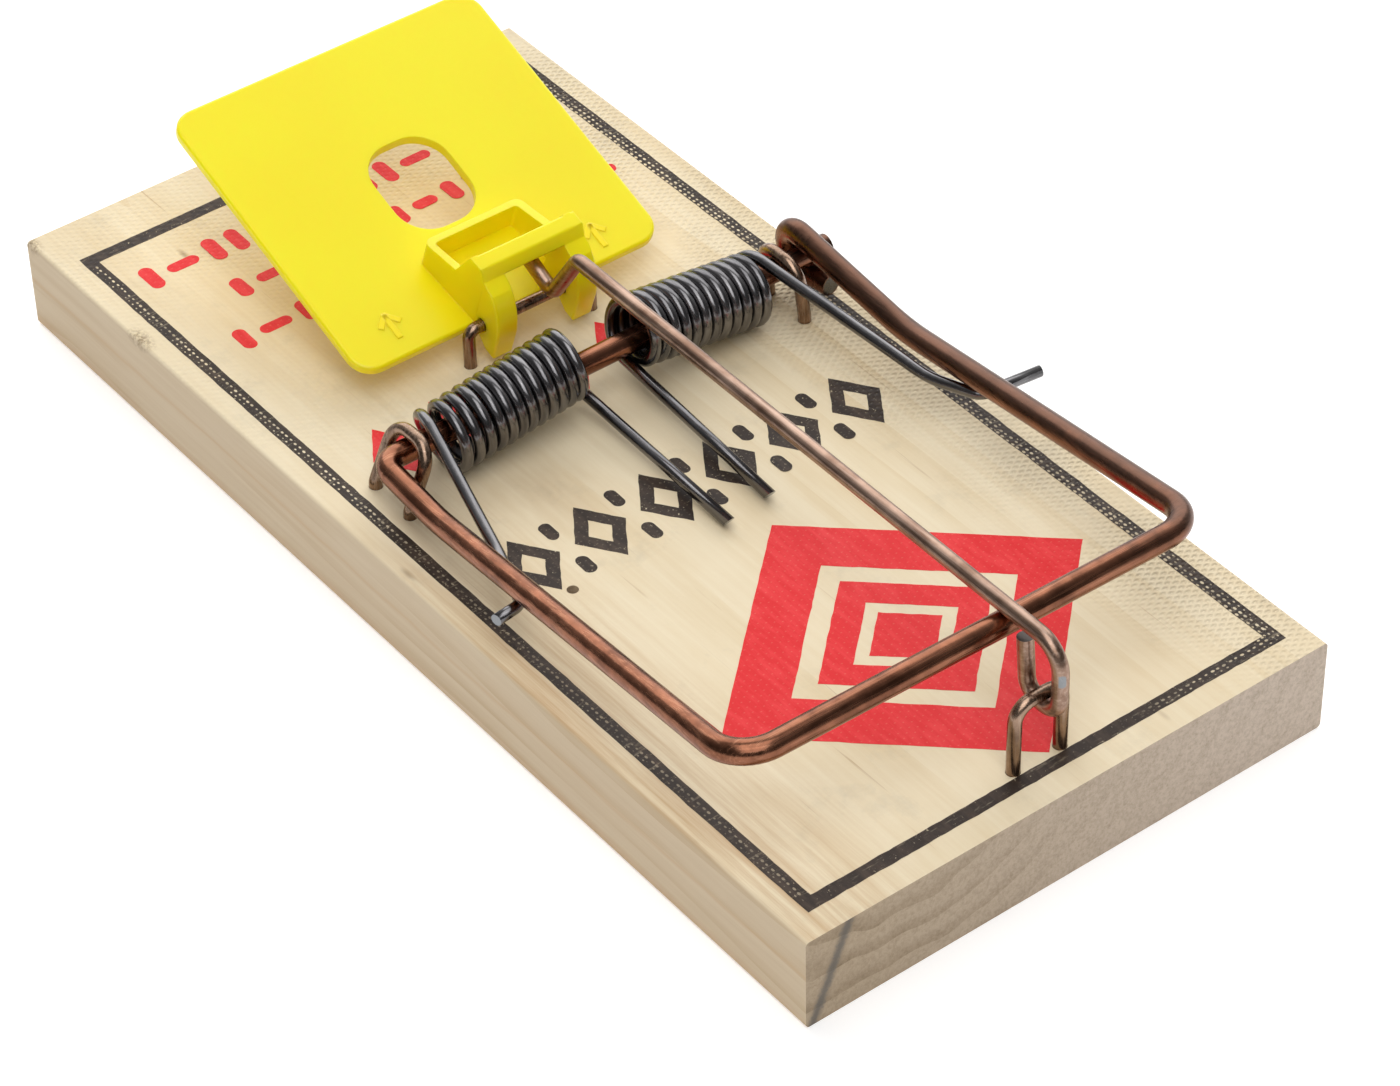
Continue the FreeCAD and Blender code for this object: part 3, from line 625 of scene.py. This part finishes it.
def addOrnament(finish):
    bm = bmesh.new()
    for i in range(ornament["count"]):
        y = ornament["firstY"] + i * ornament["spacing"]
        addLozenge(bm, ornament["x"], y, *ornament["half"], (ornament["stroke"],))
    subdivideBands(bm, ornament["cuts"])
    for i in range(ornament["count"] - 1):
        y = ornament["firstY"] + (i + 0.5) * ornament["spacing"]
        for side in (-1, 1):
            addDash(bm, ornament["x"] + side * ornament["dashAside"], y, *ornament["dashHalf"])
    return addFilm("printed_ornament", bm, finish)


dashes = {
    "rows": ((-39.0, 1.5, -19.0), (-33.6, 1.3, -14.2), (-28.0, 1.35, -17.6)),  # x, half size in x, first y
    "strokes": (0.6, 1.4, 0.6, 0.6, 2.0, 0.6, 1.1, 0.6),    # half sizes in y, in turn
    "longFrom": 0.7,            # a stroke longer than this in y is thin in x
    "thinHalf": 0.55,
    "gap": 0.9,
    "lastY": 16.0,
}


def addDashes(finish):
    bm = bmesh.new()
    for x, halfX, startY in dashes["rows"]:
        y = startY
        i = 0
        while y < dashes["lastY"]:
            halfY = dashes["strokes"][i % len(dashes["strokes"])]
            addDash(bm, x, y + halfY, halfX if halfY < dashes["longFrom"] else dashes["thinHalf"], halfY)
            y += 2 * halfY + dashes["gap"]
            i += 1
    return addFilm("printed_dashes", bm, finish)


diamonds = {"x": -9.6, "firstY": -15.6, "spacing": 5.2, "count": 7, "half": (3.2, 2.1), "cuts": 7}


def addDiamonds(finish):
    bm = bmesh.new()
    for i in range(diamonds["count"]):
        addLozenge(bm, diamonds["x"], diamonds["firstY"] + i * diamonds["spacing"], *diamonds["half"], ())
    subdivideBands(bm, diamonds["cuts"])
    return addFilm("printed_diamonds", bm, finish)


# Springs: each one wire, bent as a coiler does it, by feeding straight runs and turning bends

springs = {
    "spring_left": {
        "side": -1, "inner": (-5.5, -2.3, 12.55), "outer": (-5.5, -14.75, 10.9), "legTip": (12.9, -1.7, 8.7),
        "runs": ((9.0, 0.93), (3.2, 1.08), (0.3, 3.0)),    # turns and pitch, the last run flares
        "outerLeg": ((8.0, -18.48, 11.09), (13.3, -20.51, 11.49), (13.6, -22.9, 11.49)),
    },
    "spring_right": {
        "side": 1, "inner": (-5.5, 3.1, 12.55), "outer": (-5.5, 15.5, 10.9), "legTip": (12.4, 2.5, 8.7),
        "runs": ((12.2, 0.97), (0.3, 1.8)),
        "outerLeg": ((12.0, 17.88, 11.68), (16.2, 19.35, 11.89), (16.84, 24.7, 11.89)),
    },
}
springWire = {
    "diameter": 0.93,
    "meanRadius": 2.5,
    "sides": 12,
    "stepsPerTurn": 30,
    "stepsPerRadian": 9,            # in the legs' bends
    "tipSlant": 0.9,
    "startAngle": -84.0,            # degrees
    "legStart": 0.4,
    "bends": (2.0, 9.0, 1.1),       # radii of the outer leg's bends
    "heldPast": 0.7,                # mm
}


def feedWire(bm, ring, move):
    # extrudes the wire's open end straight on
    made = bmesh.ops.extrude_edge_only(bm, edges=ring)["geom"]
    verts = [item for item in made if isinstance(item, bmesh.types.BMVert)]
    bmesh.ops.translate(bm, verts=verts, vec=move)
    return [item for item in made if isinstance(item, bmesh.types.BMEdge)
            and all(vert in verts for vert in item.verts)]


def turnWire(bm, ring, centre, axis, angle, steps, climb=Vector()):
    # spins the wire's open end about an axis
    verts = list({vert for edge in ring for vert in edge.verts})
    made = bmesh.ops.spin(bm, geom=verts + ring, cent=centre, axis=axis, dvec=climb, angle=angle,
                          steps=steps, use_merge=False, use_duplicate=False)["geom_last"]
    return [item for item in made if isinstance(item, bmesh.types.BMEdge)]


def bendWire(bm, ring, points, bends):
    at = points[0]
    for i, radius in enumerate(bends):
        corner = points[i + 1]
        back = (points[i] - corner).normalized()
        ahead = (points[i + 2] - corner).normalized()
        half = back.angle(ahead) / 2
        first = corner + back * radius / math.tan(half)
        centre = corner + (back + ahead).normalized() * radius / math.sin(half)
        ring = feedWire(bm, ring, first - at)
        turn = math.pi - 2 * half
        steps = max(3, int(turn * springWire["stepsPerRadian"]))
        ring = turnWire(bm, ring, centre, (-back).cross(ahead).normalized(), turn, steps)
        at = corner + ahead * radius / math.tan(half)
    return feedWire(bm, ring, points[-1] - at)


def addSpring(name, spec, wound, cutEnd):
    side = spec["side"]
    inner = Vector(spec["inner"]) * mm
    outer = Vector(spec["outer"]) * mm
    radius = springWire["meanRadius"] * mm
    axis = (outer - inner).normalized() * side
    up = axis.cross(Vector((-1, 0, 0))).normalized()
    if up.z < 0:
        up = -up
    angle = math.radians(springWire["startAngle"])
    radial = Vector((math.cos(angle), 0, 0)) + up * math.sin(angle)
    start = inner + radial * radius
    outwards = (outer - inner).normalized() * mm
    forward = (axis.cross(radial) * radius * math.tau + outwards * spec["runs"][0][1]).normalized()
    tip = Vector(spec["legTip"]) * mm
    bm = bmesh.new()
    made = bmesh.ops.create_circle(
        bm, cap_ends=True, segments=springWire["sides"], radius=springWire["diameter"] / 2 * mm,
        matrix=Matrix.Translation(tip) @ forward.to_track_quat("Z", "Y").to_matrix().to_4x4())
    ring = list({edge for vert in made["verts"] for edge in vert.link_edges})
    ring = feedWire(bm, ring, (start - tip) * 0.5)
    for vert in made["verts"]:  # the leg is chopped off at a slant
        vert.co -= forward * (vert.co - tip).z * springWire["tipSlant"]
    ring = feedWire(bm, ring, (start - tip) * 0.5)
    at = inner
    sweep = 0.0
    for turns, pitch in spec["runs"]:
        steps = round(turns * springWire["stepsPerTurn"])
        turn = turns * math.tau
        if sweep == 0.0:
            turn += math.radians(90 + springWire["startAngle"])
        reach = outwards * turns * pitch
        ring = turnWire(bm, ring, at, axis, turn, steps, reach / steps)
        at = at + reach
        sweep += turn
    last = Matrix.Rotation(sweep, 3, axis)
    end = at + last @ (radial * radius)
    away = (last @ axis.cross(radial) * radius * math.tau + outwards * pitch).normalized()
    points = [end, end + away * springWire["legStart"] * mm] + [Vector(p) * mm for p in spec["outerLeg"]]
    ring = bendWire(bm, ring, points, [bend * mm for bend in springWire["bends"]])
    bmesh.ops.edgeloop_fill(bm, edges=ring)
    wrapWire(bm, springWire["sides"])
    piece = finishPiece(name + "_wound", bm, [wound, cutEnd], None)
    for polygon in piece.data.polygons:
        polygon.use_smooth = len(polygon.vertices) == 4
        polygon.material_index = 0 if polygon.use_smooth else 1
    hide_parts(name)
    reach = springWire["heldPast"] * side * mm
    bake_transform(piece)
    return piece


def wrapWire(bm, sides):
    # UV: x is the run along the wire in millimetres, y goes once round it
    uv = bm.loops.layers.uv.new("wire")
    bm.verts.index_update()
    verts = bm.verts[:]
    run = [0.0]
    middles = [sum((v.co for v in verts[i:i + sides]), Vector()) / sides for i in range(0, len(verts), sides)]
    for before, after in zip(middles, middles[1:]):
        run.append(run[-1] + (after - before).length / mm)
    for face in bm.faces:
        places = [loop.vert.index % sides for loop in face.loops]
        wraps = max(places) - min(places) > sides / 2
        for loop, place in zip(face.loops, places):
            turn = place + sides if wraps and place < sides / 2 else place
            loop[uv].uv = (run[loop.vert.index // sides], turn / sides)


# Small raised setting marks on the trigger plate

marks = {
    "tilt": 20.3,                     # degrees, as the plate sits when set
    "pivot": (-14.4, 0.0, 11.4),      # mm
    "top": -0.68,
    "places": ((-4.6, -9.9), (-4.1, 9.1)),
    "height": 0.08,
    "barb": (1.5, 0.5),
    "barbAt": 0.42,
    "barbTurn": 0.75,                 # radians
    "shaft": (2.4, 0.5),
    "shaftAt": 1.1,
    "softEdge": 0.06,
}


def addMarks(finish):
    bm = bmesh.new()
    for x, y in marks["places"]:
        for side in (1, -1):
            bmesh.ops.create_cube(bm, size=1, matrix=(
                Matrix.Translation((x + marks["barbAt"], y + side * marks["barbAt"], marks["top"]))
                @ Matrix.Rotation(side * marks["barbTurn"], 4, "Z")
                @ Matrix.Diagonal((*marks["barb"], 2 * marks["height"], 1))))
        bmesh.ops.create_cube(bm, size=1, matrix=(
            Matrix.Translation((x + marks["shaftAt"], y, marks["top"]))
            @ Matrix.Diagonal((*marks["shaft"], 2 * marks["height"], 1))))
    bmesh.ops.bevel(bm, geom=bm.edges[:], offset=marks["softEdge"], segments=2, affect="EDGES",
                    profile=0.5, material=-1)
    bmesh.ops.transform(bm, verts=bm.verts, matrix=(
        Matrix.Scale(mm, 4) @ Matrix.Translation(marks["pivot"])
        @ Matrix.Rotation(math.radians(marks["tilt"]), 4, "Y")))
    return finishPiece("setting_marks", bm, [finish], "trigger_body")


# Finishes on the CAD nodes, then the new pieces

pineFinish = makePine()
hammerFinish = makeCoppered("coppered steel, dark", wires["hammer"])
barFinish = makeCoppered("coppered steel, bright", wires["bar"])
stapleFinish = makeCoppered("coppered staple wire", wires["staple"])
yellowFinish = makeYellowPlastic("moulded polypropylene", 0.5)
cadFinishes = {
    "base_board": pineFinish, "hammer": hammerFinish, "hold_down_bar": barFinish,
    "axle_staple_left": stapleFinish, "axle_staple_right": stapleFinish,
    "hold_down_staple": stapleFinish, "trigger_pivot_wire": stapleFinish,
    "trigger_plate": yellowFinish,
}
for name, finish in cadFinishes.items():
    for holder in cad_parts[name].material_slots:
        holder.material = finish
print("finishes on the CAD nodes")

redInk = makeInk("red printing ink", inks["red"], False)
blackInk = makeInk("black printing ink", inks["black"], False)
borderInk = makeInk("black dotted border ink", inks["black"], True)
addBorder(borderInk)
addEmblem(redInk)
addOrnament(blackInk)
addDashes(redInk)
addDiamonds(redInk)
print("printed design")

woundSteel = makeSpringSteel("oil-tempered spring wire", False)
cutSteel = makeSpringSteel("sheared spring wire", True)
for name, spec in springs.items():
    addSpring(name, spec, woundSteel, cutSteel)
print("springs wound")

addMarks(makeYellowPlastic("raised polypropylene", 0.0))  # too small for light to pass through
print("trigger marks")


# Studio: pale floor, soft boxes and the camera

studio = {
    "floor": "#F2F2F2",
    "floorGlow": 0.35,
    "sky": {"back": (143.0, 28.0), "glow": 0.75, "dim": 0.12},    # azimuth and elevation of the bright side
    "lights": (
        {"name": "softbox", "from": (143.0, 38.0), "distance": 0.8, "size": (1.2, 0.7), "power": 4.0},
        {"name": "overhead", "from": (-37.0, 78.0), "distance": 0.7, "size": (0.5, 0.5), "power": 1.7},
        {"name": "fill", "from": (-32.0, 48.0), "distance": 0.7, "size": (0.5, 0.4), "power": 1.4},
    ),
    "lens": 116.55,             # mm
    "sensor": 36.0,
    "azimuth": 53.2286,
    "elevation": 40.9407,
    "roll": -1.3874,
    "distance": 341.484,        # mm, the camera from its target
    "target": (5.4217, 1.2243, 0.0),
}


def towards(azimuth, elevation):
    # a direction, with azimuth from +X towards +Y
    flat = math.cos(math.radians(elevation))
    return Vector((flat * math.cos(math.radians(azimuth)), flat * math.sin(math.radians(azimuth)),
                   math.sin(math.radians(elevation))))


def addStudio():
    bm = bmesh.new()
    bmesh.ops.create_grid(bm, x_segments=1, y_segments=1, size=3)
    mesh = bpy.data.meshes.new("floor")
    bm.to_mesh(mesh)
    bm.free()
    floor = bpy.data.objects.new("floor", mesh)
    bpy.context.scene.collection.objects.link(floor)
    paper, shader = startFinish("white paper")[:2]
    fillSockets(shader, {"Base Color": studio["floor"], "Roughness": 0.9,
                         "Emission Color": "#FFFFFF", "Emission Strength": studio["floorGlow"]})
    mesh.materials.append(paper)
    for spec in studio["lights"]:
        light = bpy.data.lights.new(spec["name"], "AREA")
        light.shape = "RECTANGLE"
        light.size, light.size_y = spec["size"]
        light.energy = spec["power"]
        lamp = bpy.data.objects.new(spec["name"], light)
        lamp.location = towards(*spec["from"]) * spec["distance"]
        lamp.rotation_euler = lamp.location.to_track_quat("Z", "Y").to_euler()
        bpy.context.scene.collection.objects.link(lamp)
    sky = studio["sky"]
    world = bpy.data.worlds.new("studio")
    world.use_nodes = True
    add = partial(addNode, world.node_tree)
    around = add("TexCoord").outputs["Generated"]
    facing = add("VectorMath", (around, towards(*sky["back"])), operation="DOT_PRODUCT").outputs["Value"]
    lobe = add("Math", (add("Math", (facing, 0.0), operation="MAXIMUM"), 2.0), operation="POWER")
    glow = add("Math", (lobe, sky["glow"], sky["dim"]), operation="MULTIPLY_ADD")
    fillSockets(world.node_tree.nodes["Background"], {"Color": "#FFFFFF", "Strength": glow})
    bpy.context.scene.world = world
    bpy.context.scene.view_settings.view_transform = "Standard"


def addCamera():
    az, el, roll = (math.radians(studio[key]) for key in ("azimuth", "elevation", "roll"))
    right = Vector((math.cos(az), math.sin(az), 0))
    back = Vector((math.sin(az) * math.cos(el), -math.cos(az) * math.cos(el), math.sin(el)))
    up = back.cross(right)
    rolledRight = right * math.cos(roll) + up * math.sin(roll)
    rolledUp = up * math.cos(roll) - right * math.sin(roll)
    camera = bpy.data.objects.new("camera", bpy.data.cameras.new("camera"))
    camera.data.lens = studio["lens"]
    camera.data.sensor_width = studio["sensor"]
    camera.data.clip_start = 0.01
    turn = Matrix((rolledRight, rolledUp, back)).transposed().to_4x4()
    camera.matrix_world = Matrix.Translation(
        (Vector(studio["target"]) + back * studio["distance"]) * mm) @ turn
    bpy.context.scene.collection.objects.link(camera)
    bpy.context.scene.camera = camera


addStudio()
addCamera()
print("studio and camera")
